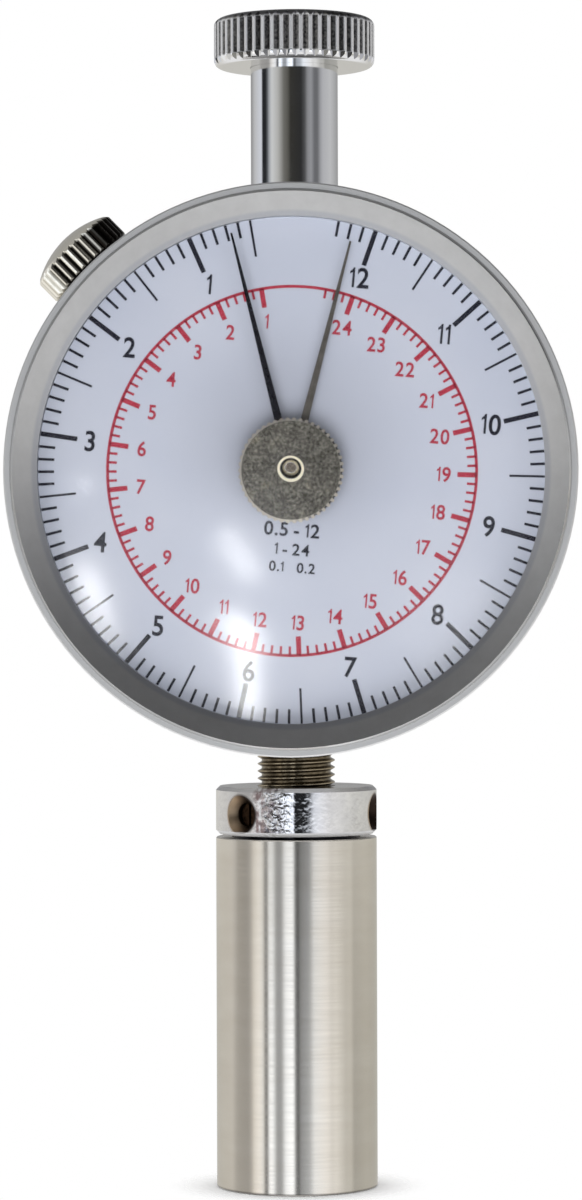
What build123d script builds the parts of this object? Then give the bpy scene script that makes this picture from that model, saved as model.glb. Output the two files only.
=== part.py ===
from build123d import *
import math
import os

# Fruit penetrometer, in millimetres. The spindle runs up the Z axis from the flat end of its guard cap,
# and the dial faces the front, which is -Y. Distances called forward are measured from the spindle axis.
os.makedirs("parts", exist_ok=True)

# Clearances
press_gap = 0.02
running_gap = 0.04
sliding_gap = 0.1
free_gap = 0.3

# Guard cap, ring nut, probe and spindle
cap_radius = 8.3
cap_length = 36.05
cap_gap = 0.32
cap_wall = 1.65
cap_floor = 2.0
edge_chamfer = 0.35
turned_edge = 0.1
nut_height = 4.93
nut_chamfer = 0.4
spigot_length = 5.0
set_screw_radius = 1.2
set_screw_rise = 2.18
set_screw_recess = 1.5
countersink_radius = 2.0
countersink_depth = 0.65
set_screw_count = 3
first_set_screw_angle = -131.7
probe_radius = 5.55
probe_length = 26.0
probe_rounding = 1.2
stud_radius = 2.5
stud_length = 7.0
thread_radius = 4.0
thread_pitch = 0.75
thread_depth = 0.42
spindle_radius = 3.0
spindle_travel = 2.8
nut_to_bezel = 3.4

# Bezel, crystal and dial
bezel_radius = 28.8
bezel_wall = 1.5
bezel_rim_width = 0.64
bezel_rim_chamfer = 0.15
bezel_step = 0.4
bezel_step_width = 0.3
bezel_lip_edge = 0.25
bezel_lip_width = 3.3
bezel_lip_height = 1.8
bezel_seat_wall = 1.9
crystal_thickness = 1.6
crystal_dome = 4.0
spacer_wall = 1.2
spacer_height = 1.7
dial_thickness = 0.6
dial_hole_radius = 2.6
retaining_ring_height = 0.5
retaining_ring_wall = 1.5
skirt_overlap = 2.0
snap_ring_height = 0.4
snap_ring_depth = 0.4
snap_ring_split = 2.0

# Case and its covers
case_wall = 2.0
case_depth = 18.0
boss_radius = 6.4
bush_radius = 4.4
bush_length = 4.5
bush_flange = 0.6
bush_flange_radius = 4.9
upper_boss_depth = 8.2
lug_reach = 3.6
lug_width = 5.0
lug_height = 3.0
lug_angles = (30, 150, 210, 330)
plate_thickness = 1.0
back_cover_thickness = 1.5
cover_screw_angles = (45, 135, 225, 315)
cover_boss_radius = 2.1
cover_boss_gap = 0.2
screw_radius = 0.8
screw_head_radius = 1.6
screw_head_height = 0.6
screw_slot_width = 0.35

# Spring tube and end cap
column_radius = 4.5
column_wall = 1.1
column_show = 13.2
end_cap_radius = 8.3
end_cap_height = 5.0
end_cap_rounding = 0.8
end_cap_ribs = 52
rib_depth = 0.28
rib_top_share = 0.15
end_cap_socket = 2.6
spring_wire = 1.4
spring_mean_radius = 2.5
spring_turns = 7
spindle_above_bush = 1.5

# Gear train
rack_module = 0.4
rack_line = 2.1
rack_teeth_above = 2
rack_teeth_below = 4
pinion_teeth = 12
pinion_face = 3.0
wheel_module = 0.3
wheel_teeth = 60
wheel_thickness = 0.8
wheel_openings = 5
wheel_room = 1.0
centre_teeth = 12
addendum_share = 0.75
dedendum_share = 1.1
backlash_share = 0.12
tip_share = 0.45
root_share = 1.25
transfer_arbor_radius = 0.8
centre_arbor_radius = 0.6
spindle_to_cock = 0.8
cock_thickness = 0.8
cock_width = 4.0
cock_foot_radius = 1.9
cock_near_reach = 8.0
cock_far_reach = 12.5
cock_angle = 25.0
bridge_thickness = 1.0
bridge_gap = 1.2
pillar_radius = 1.5
pillar_rise = 3.8
pillar_hole = 3.0
hairspring_height = 0.5
hairspring_strip = 0.12
hairspring_inner = 1.3
hairspring_pitch = 0.75
hairspring_turns = 4.125
hairspring_stud_radius = 0.5
collet_radius = 1.1

# Pointers and the resetting crown
live_pointer_angle = 14.0
live_pointer_tip_gap = 1.0
peak_pointer_angle = -14.6
peak_pointer_tip_gap = 1.8
pointer_root_width = 0.95
pointer_tip_width = 0.2
pointer_thickness = 0.3
pointer_hub_radius = 2.0
pointer_space = 0.35
peak_tube_radius = 1.2
peak_disc_radius = 7.8
centre_bush_wall = 1.0
peak_disc_thickness = 0.5
pointer_boss_radius = 5.3
pointer_boss_height = 0.9
pointer_boss_teeth = 50
pointer_boss_bevel = 0.35
boss_tooth_depth = 0.2
boss_ring_radius = 1.34
boss_ring_wall = 0.25
boss_ring_height = 0.5
arbor_head_radius = 0.82
arbor_head_bevel = 0.2
arbor_dimple_radius = 0.35
arbor_dimple_depth = 0.08
roller_radius = 3.2
roller_width = 2.0
roller_place = 6.4
shaft_radius = 1.0
crown_angle = 134.5
crown_radius = 4.95
crown_height = 2.97
crown_dome = 1.2
crown_ribs = 34
crown_socket = 1.4
crown_stand = 0.5
crown_bush_wall = 0.7
crown_bush_reach = 1.2
clip_thickness = 0.5

# Guide that keeps the spindle from turning
guide_pin_radius = 0.9
guide_pin_rise = 9.5
guide_pin_depth = 1.6
guide_reach = 7.2
guide_side_gap = 1.2
guide_wall = 1.4
guide_screw_depth = 2.6
stop_ring_radius = 3.9
stop_ring_height = 0.8

# Heights on the spindle line
nut_base = cap_length + cap_gap
nut_top = nut_base + nut_height
spigot_base = nut_base - spigot_length
dial_height = nut_top + nut_to_bezel + bezel_radius
case_radius = bezel_radius - bezel_wall - sliding_gap
case_inner = case_radius - case_wall
neck_top = dial_height - case_radius - sliding_gap
lower_bush_base = neck_top + spindle_travel + free_gap
lower_bush_top = lower_bush_base + bush_length
stop_ring_base = lower_bush_top + bush_flange + press_gap
upper_boss_base = dial_height + case_radius - upper_boss_depth
tube_base = upper_boss_base + bush_length
spindle_top = tube_base + spindle_above_bush
end_cap_base = dial_height + bezel_radius + column_show
end_cap_top = end_cap_base + end_cap_height
tube_top = end_cap_base + end_cap_socket - sliding_gap
column_bore = column_radius - column_wall
screw_bore = screw_radius + press_gap

# Forward levels, from the spindle out to the crystal
cock_back = spindle_radius + spindle_to_cock
cock_front = cock_back + cock_thickness
wheel_back = cock_front + free_gap + sliding_gap
wheel_front = wheel_back + wheel_thickness
hairspring_back = wheel_front + 2 * sliding_gap
plate_back = hairspring_back + hairspring_height + 2 * sliding_gap
plate_front = plate_back + plate_thickness
peak_disc_back = plate_front + free_gap
dial_back = peak_disc_back + peak_disc_thickness + free_gap
dial_front = dial_back + dial_thickness
peak_pointer_back = dial_front + 2 * free_gap
live_pointer_back = peak_pointer_back + pointer_thickness + pointer_space
pointer_boss_back = live_pointer_back + pointer_thickness
pointer_boss_front = pointer_boss_back + pointer_boss_height
crystal_back = dial_front + spacer_height
lip_back = crystal_back + crystal_thickness
rim_front = lip_back + bezel_lip_height
case_front = dial_back - retaining_ring_height - free_gap
case_back = case_front - case_depth
skirt_back = case_front - skirt_overlap
bridge_front = -spindle_radius - bridge_gap
bridge_back = bridge_front - bridge_thickness
cover_boss_height = bridge_back - screw_head_height - cover_boss_gap - case_back
roller_forward = peak_disc_back - press_gap - roller_radius
seat_radius = bezel_radius - bezel_seat_wall
fitted_radius = seat_radius - sliding_gap
bezel_lip_radius = bezel_radius - bezel_lip_width
spacer_inner = fitted_radius - spacer_wall
live_pointer_length = spacer_inner - live_pointer_tip_gap
peak_pointer_length = spacer_inner - peak_pointer_tip_gap

# Gear centres
pinion_radius = rack_module * pinion_teeth / 2
wheel_radius = wheel_module * wheel_teeth / 2
centre_radius = wheel_module * centre_teeth / 2
transfer_x = rack_line + pinion_radius
transfer_drop = math.sqrt((wheel_radius + centre_radius) ** 2 - transfer_x**2)
transfer_height = dial_height - transfer_drop
wheel_tip = wheel_radius + addendum_share * wheel_module
mesh_angle = math.degrees(math.atan2(transfer_drop, -transfer_x))

# Reference planes and axes; each line plane's own Z runs along its pieces
spindle_line = Plane.XY
spindle_section = Plane.XZ
dial_axis = Axis((0, 0, dial_height), (0, -1, 0))
dial_section = Plane((0, 0, dial_height), x_dir=(1, 0, 0), z_dir=(0, 0, -1))
crown_x = math.cos(math.radians(crown_angle))
crown_z = math.sin(math.radians(crown_angle))
crown_side = (crown_z, 0, -crown_x)
crown_line = Plane((0, -roller_forward, dial_height), x_dir=crown_side, z_dir=(crown_x, 0, crown_z))
crown_axis = Axis(crown_line.origin, crown_line.z_dir)
crown_section = Plane(crown_line.origin, x_dir=crown_side, z_dir=(0, -1, 0))


def polar(radius, degrees):
    """Point at a radius and an angle, counter-clockwise from the local X axis."""
    return (radius * math.cos(math.radians(degrees)), radius * math.sin(math.radians(degrees)))


def forward_line(x, height):
    """Plane whose Z runs forward through a point on the movement."""
    return Plane((x, 0, height), x_dir=(1, 0, 0), z_dir=(0, -1, 0))


def outline(plane, points):
    """Closed straight-sided face on a plane."""
    with BuildSketch(plane) as face:
        with BuildLine():
            Polyline(*points, close=True)
        make_face()
    return face.sketch


def rod(plane, radius, start, end, mode=Mode.ADD):
    """Round bar along a line plane."""
    with BuildSketch(plane.offset(start)) as disc:
        Circle(radius)
    extrude(disc.sketch, amount=end - start, mode=mode)


def hole(plane, radius, start, end):
    """Round hole along a line plane."""
    rod(plane, radius, start, end, Mode.SUBTRACT)


def tube(plane, outer, inner, start, end):
    """Plain sleeve along a line plane."""
    with BuildSketch(plane.offset(start)) as ring:
        Circle(outer)
        Circle(inner, mode=Mode.SUBTRACT)
    extrude(ring.sketch, amount=end - start)


def rib_grooves(plane, radius, count, depth, start, end):
    """Cut V grooves all round a round edge, which leaves straight ribs."""
    rib_step = 360 / count
    corners = []
    for rib in range(count):
        corners.append(polar(radius + press_gap, (rib - 0.5 * rib_top_share) * rib_step))
        corners.append(polar(radius + press_gap, (rib + 0.5 * rib_top_share) * rib_step))
        corners.append(polar(radius - depth, (rib + 0.5) * rib_step))
    with BuildSketch(plane.offset(start)) as grooves:
        Circle(radius + depth)
        with BuildLine():
            Polyline(*corners, close=True)
        make_face(mode=Mode.SUBTRACT)
    extrude(grooves.sketch, amount=end - start, mode=Mode.SUBTRACT)


def gear_face(plane, module, teeth, first_angle):
    """Toothed outline with tapered teeth and some backlash."""
    pitch_radius = module * teeth / 2
    tip_radius = pitch_radius + addendum_share * module
    root_radius = pitch_radius - dedendum_share * module
    half_tooth = 90 / teeth * (1 - backlash_share)
    flank = ((root_radius, root_share), (pitch_radius, 1.0), (tip_radius, tip_share))
    corners = []
    for tooth in range(teeth):
        middle = first_angle + 360 * tooth / teeth
        corners += [polar(radius, middle - share * half_tooth) for radius, share in flank]
        corners += [polar(radius, middle + share * half_tooth) for radius, share in reversed(flank)]
    return outline(plane, corners)


def screw(plane, seat, tip):
    """Slotted screw whose head stands on the seat and whose shank runs back to its tip."""
    rod(plane, screw_radius, tip, seat)
    rod(plane, screw_head_radius, seat, seat + screw_head_height)
    with BuildSketch(plane.offset(seat + screw_head_height)) as slot:
        Rectangle(2 * screw_head_radius, screw_slot_width)
    extrude(slot.sketch, amount=-0.5 * screw_head_height, mode=Mode.SUBTRACT)


def pointer(plane, length, bore):
    """Tapered needle on a round hub, pointing along the plane's Y axis."""
    rod(plane, pointer_hub_radius, 0, pointer_thickness)
    half_root = pointer_root_width / 2
    half_tip = pointer_tip_width / 2
    blade = outline(plane, [(-half_root, 0), (half_root, 0), (half_tip, length), (-half_tip, length)])
    extrude(blade, amount=pointer_thickness)
    hole(plane, bore, 0, pointer_thickness)


def save(piece, name):
    """Label a finished piece and write its file."""
    piece.part.label = name
    export_step(piece.part, f"parts/{name}.step")


# Guard cap: a turned cup that slides over the probe
with BuildPart() as guard_cap:
    rod(spindle_line, cap_radius, 0, cap_length)
    chamfer(guard_cap.edges().filter_by(GeomType.CIRCLE), turned_edge)
    hole(spindle_line, cap_radius - cap_wall, cap_floor, cap_length)
save(guard_cap, "guard_cap")

# Ring nut: a chromed collar on the spindle's thread, with a spigot that carries the cap
nut_middle = nut_base + set_screw_rise
set_screw_lines = []
for number in range(set_screw_count):
    toward = polar(1, first_set_screw_angle + 360 * number / set_screw_count)
    set_screw_lines.append(Plane((0, 0, nut_middle), x_dir=(0, 0, 1), z_dir=(toward[0], toward[1], 0)))

with BuildPart() as ring_nut:
    rod(spindle_line, cap_radius, nut_base, nut_top)
    chamfer(ring_nut.edges().filter_by(GeomType.CIRCLE), nut_chamfer)
    rod(spindle_line, cap_radius - cap_wall - sliding_gap, spigot_base, nut_base)
    hole(spindle_line, thread_radius + running_gap, spigot_base, nut_top)
    for line in set_screw_lines:
        hole(line, set_screw_radius + press_gap, 0, cap_radius)
        with BuildSketch(line.offset(cap_radius)) as mouth:
            Circle(countersink_radius)
        with BuildSketch(line.offset(cap_radius - countersink_depth - edge_chamfer)) as throat:
            Circle(set_screw_radius)
        loft([throat.sketch, mouth.sketch], mode=Mode.SUBTRACT)
save(ring_nut, "ring_nut")

# Set screws: headless screws, sunk below the mouths of their holes
with BuildPart() as ring_nut_set_screws:
    for line in set_screw_lines:
        rod(line, set_screw_radius, thread_radius + press_gap, cap_radius - set_screw_recess)
        with BuildSketch(line.offset(cap_radius - set_screw_recess)) as slot:
            Rectangle(2 * set_screw_radius, screw_slot_width)
        extrude(slot.sketch, amount=-screw_head_height, mode=Mode.SUBTRACT)
save(ring_nut_set_screws, "ring_nut_set_screws")

# Probe: the steel tip that is pressed into the fruit, screwed on the spindle's stud
probe_base = spigot_base - probe_length
with BuildPart() as probe:
    rod(spindle_line, probe_radius, probe_base, spigot_base)
    fillet(probe.edges().filter_by(GeomType.CIRCLE).sort_by(Axis.Z)[0], probe_rounding)
    hole(spindle_line, stud_radius + press_gap, spigot_base - stud_length - sliding_gap, spigot_base)
save(probe, "probe")

# Spindle: stud, threaded neck, plain shaft and rack in one bar
rack_pitch = math.pi * rack_module
rack_half = rack_pitch / 4 * (1 - backlash_share)
rack_root = rack_line - dedendum_share * rack_module
rack_tip = rack_line + addendum_share * rack_module
rack_slope = math.tan(math.radians(20))
half_at_root = rack_half + (rack_line - rack_root) * rack_slope
half_at_tip = rack_half - (rack_tip - rack_line) * rack_slope
rack_low = transfer_height - spindle_travel - pinion_radius - 2 * free_gap
rack_high = transfer_height + pinion_radius + 2 * free_gap
rack_points = [(2 * spindle_radius, rack_low), (rack_root, rack_low)]
for tooth in range(-rack_teeth_below, rack_teeth_above):
    middle = transfer_height + (tooth + 0.5) * rack_pitch
    rack_points.append((rack_root, middle - half_at_root))
    rack_points.append((rack_tip, middle - half_at_tip))
    rack_points.append((rack_tip, middle + half_at_tip))
    rack_points.append((rack_root, middle + half_at_root))
rack_points += [(rack_root, rack_high), (2 * spindle_radius, rack_high)]
guide_pin_height = dial_height + guide_pin_rise
guide_line = Plane((0, 0, guide_pin_height), x_dir=(0, 1, 0), z_dir=(1, 0, 0))
guide_pin_seat = spindle_radius - guide_pin_depth

thread_root = thread_radius - thread_depth
thread_start = nut_top - thread_pitch
with BuildPart() as spindle:
    rod(spindle_line, stud_radius, spigot_base - stud_length, spigot_base)
    rod(spindle_line, thread_radius, spigot_base, thread_start)
    rod(spindle_line, thread_root, thread_start, neck_top)
    rod(spindle_line, spindle_radius, neck_top, spindle_top)
    thread_run = neck_top - thread_start - thread_pitch
    with BuildLine() as thread_path:
        Helix(thread_pitch, thread_run, thread_root, center=(0, 0, thread_start + thread_pitch / 2))
    ridge_foot = 0.44 * thread_pitch
    ridge_top = 0.06 * thread_pitch
    ridge_plane = Plane(thread_path.line @ 0, x_dir=(1, 0, 0), z_dir=thread_path.line % 0)
    ridge = outline(
        ridge_plane,
        [(-0.1, -ridge_foot), (thread_depth, -ridge_top), (thread_depth, ridge_top), (-0.1, ridge_foot)],
    )
    sweep(ridge, path=thread_path.line, is_frenet=True)
    extrude(outline(spindle_section, rack_points), amount=spindle_radius, both=True, mode=Mode.SUBTRACT)
    hole(guide_line, guide_pin_radius + press_gap, guide_pin_seat, 2 * spindle_radius)
save(spindle, "spindle")

# Guide pin: pressed across the spindle, runs in the slotted guide
with BuildPart() as guide_pin:
    rod(guide_line, guide_pin_radius, guide_pin_seat, guide_reach + sliding_gap)
save(guide_pin, "guide_pin")

# Stop ring: clipped on the spindle above the lower bush, so the spring can't push the spindle out
with BuildPart() as spindle_stop_ring:
    stop_ring_top = stop_ring_base + stop_ring_height
    tube(spindle_line, stop_ring_radius, spindle_radius + press_gap, stop_ring_base, stop_ring_top)
save(spindle_stop_ring, "spindle_stop_ring")

# Case: a turned ring with two bosses for the spindle, lugs for the front plate and bosses for the cover
dial_line = forward_line(0, dial_height)
transfer_line = forward_line(transfer_x, transfer_height)
lug_radius = case_inner - lug_reach / 2
cover_screw_radius = case_inner - cover_boss_radius
snap_middle = (case_front + skirt_back) / 2
snap_back = snap_middle - snap_ring_height / 2
snap_front = snap_middle + snap_ring_height / 2
crown_bush_radius = shaft_radius + crown_bush_wall
crown_bush_start = case_inner - crown_bush_reach
crown_bush_end = case_radius - sliding_gap
wall_bite = case_wall / 4
lug_screw_radius = case_inner - screw_head_radius - free_gap
lug_screw_places = [polar(lug_screw_radius, angle) for angle in lug_angles]
cover_screw_places = [polar(cover_screw_radius, angle) for angle in cover_screw_angles]


def movement_line(place):
    """Forward plane through a place measured from the dial's centre."""
    return forward_line(place[0], dial_height + place[1])


def backward_line(place):
    """Backward plane through a place measured from the dial's centre."""
    return Plane((place[0], 0, dial_height + place[1]), x_dir=(-1, 0, 0), z_dir=(0, 1, 0))


with BuildPart() as case:
    tube(dial_line, case_radius, case_inner, case_back, case_front)
    rod(spindle_line, boss_radius, dial_height - case_inner - wall_bite, lower_bush_top)
    rod(spindle_line, boss_radius, upper_boss_base, dial_height + case_inner + wall_bite)
    with BuildSketch(dial_line.offset(plate_back - lug_height)) as lugs:
        for angle in lug_angles:
            with Locations(Location((*polar(lug_radius + wall_bite / 2, angle), 0), (0, 0, angle))):
                Rectangle(lug_reach + wall_bite, lug_width)
    extrude(lugs.sketch, amount=lug_height)
    for place in cover_screw_places:
        rod(movement_line(place), cover_boss_radius + wall_bite, case_back, case_back + cover_boss_height)
        hole(movement_line(place), screw_bore, case_back, case_back + cover_boss_height)
    for place in lug_screw_places:
        hole(movement_line(place), screw_bore, plate_back - lug_height, plate_back)
    hole(spindle_line, bush_radius + press_gap, dial_height - bezel_radius, lower_bush_top)
    hole(spindle_line, column_radius + press_gap, upper_boss_base, dial_height + bezel_radius)
    hole(crown_line, crown_bush_radius + press_gap, crown_bush_start, bezel_radius)
    hole(transfer_line, wheel_tip + wheel_room, wheel_back - free_gap, plate_back)
    with BuildSketch(dial_line.offset(snap_back - press_gap)) as groove:
        Circle(bezel_radius)
        Circle(case_radius - snap_ring_depth - press_gap, mode=Mode.SUBTRACT)
    extrude(groove.sketch, amount=snap_ring_height + 2 * press_gap, mode=Mode.SUBTRACT)
save(case, "case")

# Back cover and its screws
with BuildPart() as back_cover:
    rod(dial_line, case_radius, case_back - back_cover_thickness, case_back)
    chamfer(back_cover.edges().filter_by(GeomType.CIRCLE).sort_by(Axis.Y)[-1], 2 * edge_chamfer)
    for place in cover_screw_places:
        hole(movement_line(place), screw_bore, case_back - back_cover_thickness, case_back)
save(back_cover, "back_cover")

with BuildPart() as back_cover_screws:
    cover_seat = back_cover_thickness - case_back
    for place in cover_screw_places:
        screw(backward_line(place), cover_seat, -case_back - 0.8 * cover_boss_height)
save(back_cover_screws, "back_cover_screws")

# Front plate: carries the movement and shuts the case behind the dial
pillar_side = math.sqrt((wheel_tip + pillar_radius + free_gap) ** 2 - pillar_rise**2)
pillar_places = []
for side in (-1, 1):
    for end in (-1, 1):
        pillar_places.append((transfer_x + side * pillar_side, end * pillar_rise - transfer_drop))
guide_x = spindle_radius + guide_side_gap
guide_low = guide_pin_rise - guide_pin_radius - sliding_gap - guide_wall
guide_high = guide_pin_rise + spindle_travel + guide_pin_radius + sliding_gap + guide_wall
guide_screw_x = (guide_x + guide_reach) / 2
guide_screw_places = [(guide_screw_x, guide_low + guide_wall), (guide_screw_x, guide_high - guide_wall)]
roller_chord = math.sqrt(roller_radius**2 - (plate_back - roller_forward) ** 2)
centre_bush_radius = peak_tube_radius + centre_bush_wall

with BuildPart() as front_plate:
    rod(dial_line, case_inner - free_gap, plate_back, plate_front)
    hole(dial_line, centre_bush_radius + press_gap, plate_back, plate_front)
    hole(transfer_line, transfer_arbor_radius + running_gap, plate_back, plate_front)
    for place in lug_screw_places + guide_screw_places:
        hole(movement_line(place), screw_bore, plate_back, plate_front)
    with BuildSketch(dial_line.offset(plate_back)) as window:
        with Locations(Location((*polar(roller_place, crown_angle), 0), (0, 0, crown_angle))):
            Rectangle(roller_width + 2 * free_gap, 2 * (roller_chord + free_gap))
    extrude(window.sketch, amount=plate_thickness, mode=Mode.SUBTRACT)
save(front_plate, "front_plate")

with BuildPart() as front_plate_screws:
    for place in lug_screw_places:
        screw(movement_line(place), plate_front, plate_back - 0.8 * lug_height)
save(front_plate_screws, "front_plate_screws")

# Bushes that guide the spindle, pressed into the case's bosses
with BuildPart() as lower_bush:
    rod(spindle_line, bush_radius, lower_bush_base, lower_bush_top)
    rod(spindle_line, bush_flange_radius, lower_bush_top, lower_bush_top + bush_flange)
    hole(spindle_line, spindle_radius + running_gap, lower_bush_base, lower_bush_top + bush_flange)
save(lower_bush, "lower_bush")

with BuildPart() as upper_bush:
    tube(spindle_line, column_radius, spindle_radius + running_gap, upper_boss_base, tube_base)
save(upper_bush, "upper_bush")

# Spring tube: the chromed column, with the load spring inside it
with BuildPart() as spring_tube:
    tube(spindle_line, column_radius, column_bore, tube_base, tube_top)
save(spring_tube, "spring_tube")

plug_base = end_cap_base + sliding_gap
spring_low = spindle_top + spring_wire / 2 + press_gap
spring_run = plug_base - spring_wire / 2 - press_gap - spring_low
with BuildPart() as main_spring:
    with BuildLine() as spring_path:
        Helix(spring_run / spring_turns, spring_run, spring_mean_radius, center=(0, 0, spring_low))
    with BuildSketch(Plane(spring_path.line @ 0, z_dir=spring_path.line % 0)) as wire:
        Circle(spring_wire / 2)
    sweep(wire.sketch, path=spring_path.line, is_frenet=True)
save(main_spring, "main_spring")

# End cap: the ribbed knob for the palm, screwed over the top of the spring tube
with BuildPart() as end_cap:
    rod(spindle_line, end_cap_radius, end_cap_base, end_cap_top)
    fillet(end_cap.edges().filter_by(GeomType.CIRCLE), end_cap_rounding)
    rib_grooves(spindle_line, end_cap_radius, end_cap_ribs, rib_depth, end_cap_base, end_cap_top)
    hole(spindle_line, column_radius + running_gap, end_cap_base, end_cap_base + end_cap_socket)
    rod(spindle_line, column_bore - sliding_gap, plug_base, end_cap_base + end_cap_socket)
save(end_cap, "end_cap")

# Slotted guide behind the front plate, and its screws
with BuildPart() as spindle_guide:
    guide_half = guide_pin_radius + sliding_gap + guide_wall
    guide_middle = (guide_low + guide_high) / 2
    with BuildSketch(dial_line.offset(-guide_half)) as block:
        with Locations((guide_screw_x, guide_middle)):
            Rectangle(guide_reach - guide_x, guide_high - guide_low)
    extrude(block.sketch, amount=guide_half + plate_back)
    with BuildSketch(Plane((0, 0, dial_height + guide_middle), x_dir=(0, 1, 0), z_dir=(1, 0, 0))) as slot:
        Rectangle(2 * (guide_pin_radius + sliding_gap), guide_high - guide_low - 2 * guide_wall)
    extrude(slot.sketch, amount=2 * guide_reach, mode=Mode.SUBTRACT)
    for place in guide_screw_places:
        hole(movement_line(place), screw_bore, plate_back - guide_screw_depth, plate_back)
save(spindle_guide, "spindle_guide")

with BuildPart() as guide_screws:
    for place in guide_screw_places:
        screw(movement_line(place), plate_front, plate_back - 0.8 * guide_screw_depth)
save(guide_screws, "guide_screws")

# Rear bridge on four pillars, which carries the back end of the transfer arbor
with BuildPart() as rear_bridge:
    with BuildSketch(transfer_line.offset(bridge_back)) as plate:
        bridge_margin = 2 * screw_head_radius
        RectangleRounded(2 * pillar_side + bridge_margin, 2 * pillar_rise + bridge_margin, screw_head_radius)
        Circle(transfer_arbor_radius + running_gap, mode=Mode.SUBTRACT)
    extrude(plate.sketch, amount=bridge_thickness)
    for place in pillar_places:
        hole(movement_line(place), screw_bore, bridge_back, bridge_front)
save(rear_bridge, "rear_bridge")

with BuildPart() as bridge_pillars:
    for place in pillar_places:
        rod(movement_line(place), pillar_radius, bridge_front, plate_back)
        hole(movement_line(place), screw_bore, bridge_front, bridge_front + pillar_hole)
save(bridge_pillars, "bridge_pillars")

with BuildPart() as bridge_screws:
    for place in pillar_places:
        screw(backward_line(place), -bridge_back, -bridge_front - 0.8 * pillar_hole)
save(bridge_screws, "bridge_screws")

# Centre cock: a bracket behind the front plate, which carries the back end of the centre arbor
cock_places = [polar(cock_near_reach, cock_angle), polar(cock_far_reach, cock_angle)]
with BuildPart() as centre_cock:
    with BuildSketch(dial_line.offset(cock_back)) as bar:
        with Locations(Location((*polar(cock_far_reach / 2, cock_angle), 0), (0, 0, cock_angle))):
            SlotOverall(cock_far_reach + cock_width, cock_width)
    extrude(bar.sketch, amount=cock_thickness)
    for place in cock_places:
        rod(movement_line(place), cock_foot_radius, cock_front, plate_back)
        hole(movement_line(place), screw_bore, cock_back, plate_back)
    hole(dial_line, centre_arbor_radius + running_gap, cock_back, cock_front)
save(centre_cock, "centre_cock")

with BuildPart() as cock_screws:
    for place in cock_places:
        screw(backward_line(place), -cock_back, sliding_gap - plate_back)
save(cock_screws, "cock_screws")

# Transfer arbor with the pinion that the rack drives, and the large wheel on it
with BuildPart() as rack_pinion:
    rod(transfer_line, transfer_arbor_radius, bridge_back, plate_front - sliding_gap)
    teeth = gear_face(transfer_line.offset(-pinion_face / 2), rack_module, pinion_teeth, 180)
    extrude(teeth, amount=pinion_face)
save(rack_pinion, "rack_pinion")

with BuildPart() as transfer_wheel:
    teeth = gear_face(transfer_line.offset(wheel_back), wheel_module, wheel_teeth, mesh_angle)
    extrude(teeth, amount=wheel_thickness)
    with BuildSketch(transfer_line.offset(wheel_back)) as openings:
        Circle(transfer_arbor_radius + press_gap)
        with PolarLocations(0.6 * wheel_radius, wheel_openings):
            Circle(0.22 * wheel_radius)
    extrude(openings.sketch, amount=wheel_thickness, mode=Mode.SUBTRACT)
save(transfer_wheel, "transfer_wheel")

# Centre arbor with its pinion, and the collet of the hairspring
centre_pinion_back = wheel_back - sliding_gap
centre_pinion_front = wheel_front + sliding_gap
facing_space = mesh_angle + 180 + 180 / centre_teeth
arbor_top = pointer_boss_front + free_gap
with BuildPart() as centre_arbor:
    rod(dial_line, centre_arbor_radius, cock_back, pointer_boss_front)
    head_edge = (arbor_head_radius - arbor_head_bevel, arbor_top)
    head_side = [(arbor_head_radius, pointer_boss_front), (arbor_head_radius, arbor_top - arbor_head_bevel)]
    head_middle = [(0, arbor_top), (0, pointer_boss_front)]
    revolve(outline(dial_section, head_side + [head_edge] + head_middle), axis=dial_axis)
    hole(dial_line, arbor_dimple_radius, arbor_top - arbor_dimple_depth, arbor_top)
    teeth = gear_face(dial_line.offset(centre_pinion_back), wheel_module, centre_teeth, facing_space)
    extrude(teeth, amount=centre_pinion_front - centre_pinion_back)
save(centre_arbor, "centre_arbor")

with BuildPart() as hairspring_collet:
    collet_bore = centre_arbor_radius + press_gap
    collet_front = plate_back - 1.5 * sliding_gap
    tube(dial_line, collet_radius, collet_bore, centre_pinion_front + press_gap, collet_front)
save(hairspring_collet, "hairspring_collet")

# Hairspring: a flat spiral strip that takes up the play in the gears, pinned at its outer end
hairspring_steps = 24
hairspring_end = hairspring_inner + hairspring_pitch * hairspring_turns
inner_side = []
outer_side = []
for step in range(round(hairspring_steps * hairspring_turns) + 1):
    turn = step / hairspring_steps
    radius = hairspring_inner + hairspring_pitch * turn
    inner_side.append(polar(radius - hairspring_strip / 2, 360 * turn))
    outer_side.append(polar(radius + hairspring_strip / 2, 360 * turn))
with BuildPart() as hairspring:
    strip = outline(dial_line.offset(hairspring_back), inner_side + outer_side[::-1])
    extrude(strip, amount=hairspring_height)
save(hairspring, "hairspring")

stud_turn = math.degrees((hairspring_stud_radius + press_gap) / hairspring_end)
stud_place = polar(hairspring_end, 360 * hairspring_turns + stud_turn)
with BuildPart() as hairspring_stud:
    rod(movement_line(stud_place), hairspring_stud_radius, hairspring_back, plate_back)
save(hairspring_stud, "hairspring_stud")

# Centre bush in the front plate, and the sleeve, friction disc and needle that hold the highest reading
with BuildPart() as centre_bush:
    bush_bore = peak_tube_radius + running_gap
    tube(dial_line, centre_bush_radius, bush_bore, plate_back - sliding_gap, plate_front + sliding_gap)
save(centre_bush, "centre_bush")


def pointer_plane(forward, degrees):
    """Plane at a forward level whose Y axis points at an angle to the left of the dial's top."""
    turn = math.radians(degrees)
    return Plane((0, -forward, dial_height), x_dir=(math.cos(turn), 0, math.sin(turn)), z_dir=(0, -1, 0))


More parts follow.
